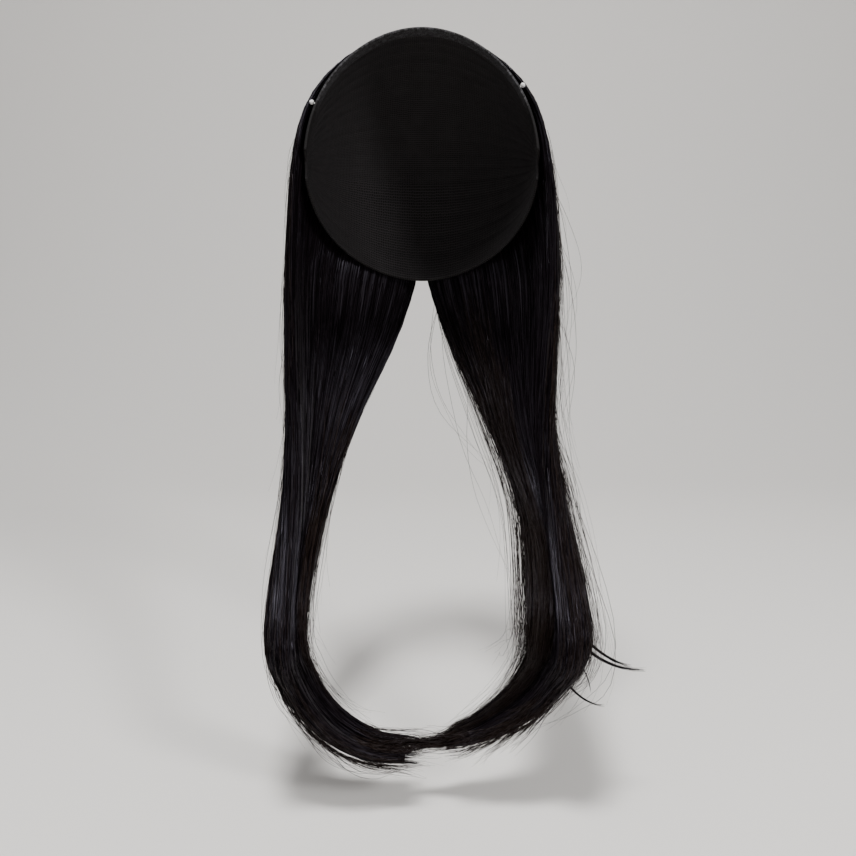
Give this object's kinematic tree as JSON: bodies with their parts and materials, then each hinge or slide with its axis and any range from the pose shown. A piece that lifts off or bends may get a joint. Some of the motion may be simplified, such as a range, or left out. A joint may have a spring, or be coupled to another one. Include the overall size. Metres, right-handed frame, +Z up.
{
  "type": "half wig",
  "caption": "Long straight dark half wig on a stretch cap, parted at the back, drawn forward on both sides with inward curled ends and a round-headed pin at each temple.",
  "frame": {"origin": "the crown: the highest point of the room inside the cap, where the wig sits on the top of a head", "axes": "+Z up, -Y towards the side that the face would be on, +X to the right of someone who faces the wig"},
  "size_m": [0.24, 0.2302, 0.4721],
  "materials": {
    "hair": "satin",
    "cap": "matte",
    "band": "matte",
    "pin": "gloss"
  },
  "bodies": {
    "root": {"cap": "cap", "edge_band": "band", "left_hair": "hair", "right_hair": "hair", "left_pin": "pin", "right_pin": "pin"}
  },
  "joints": []
}
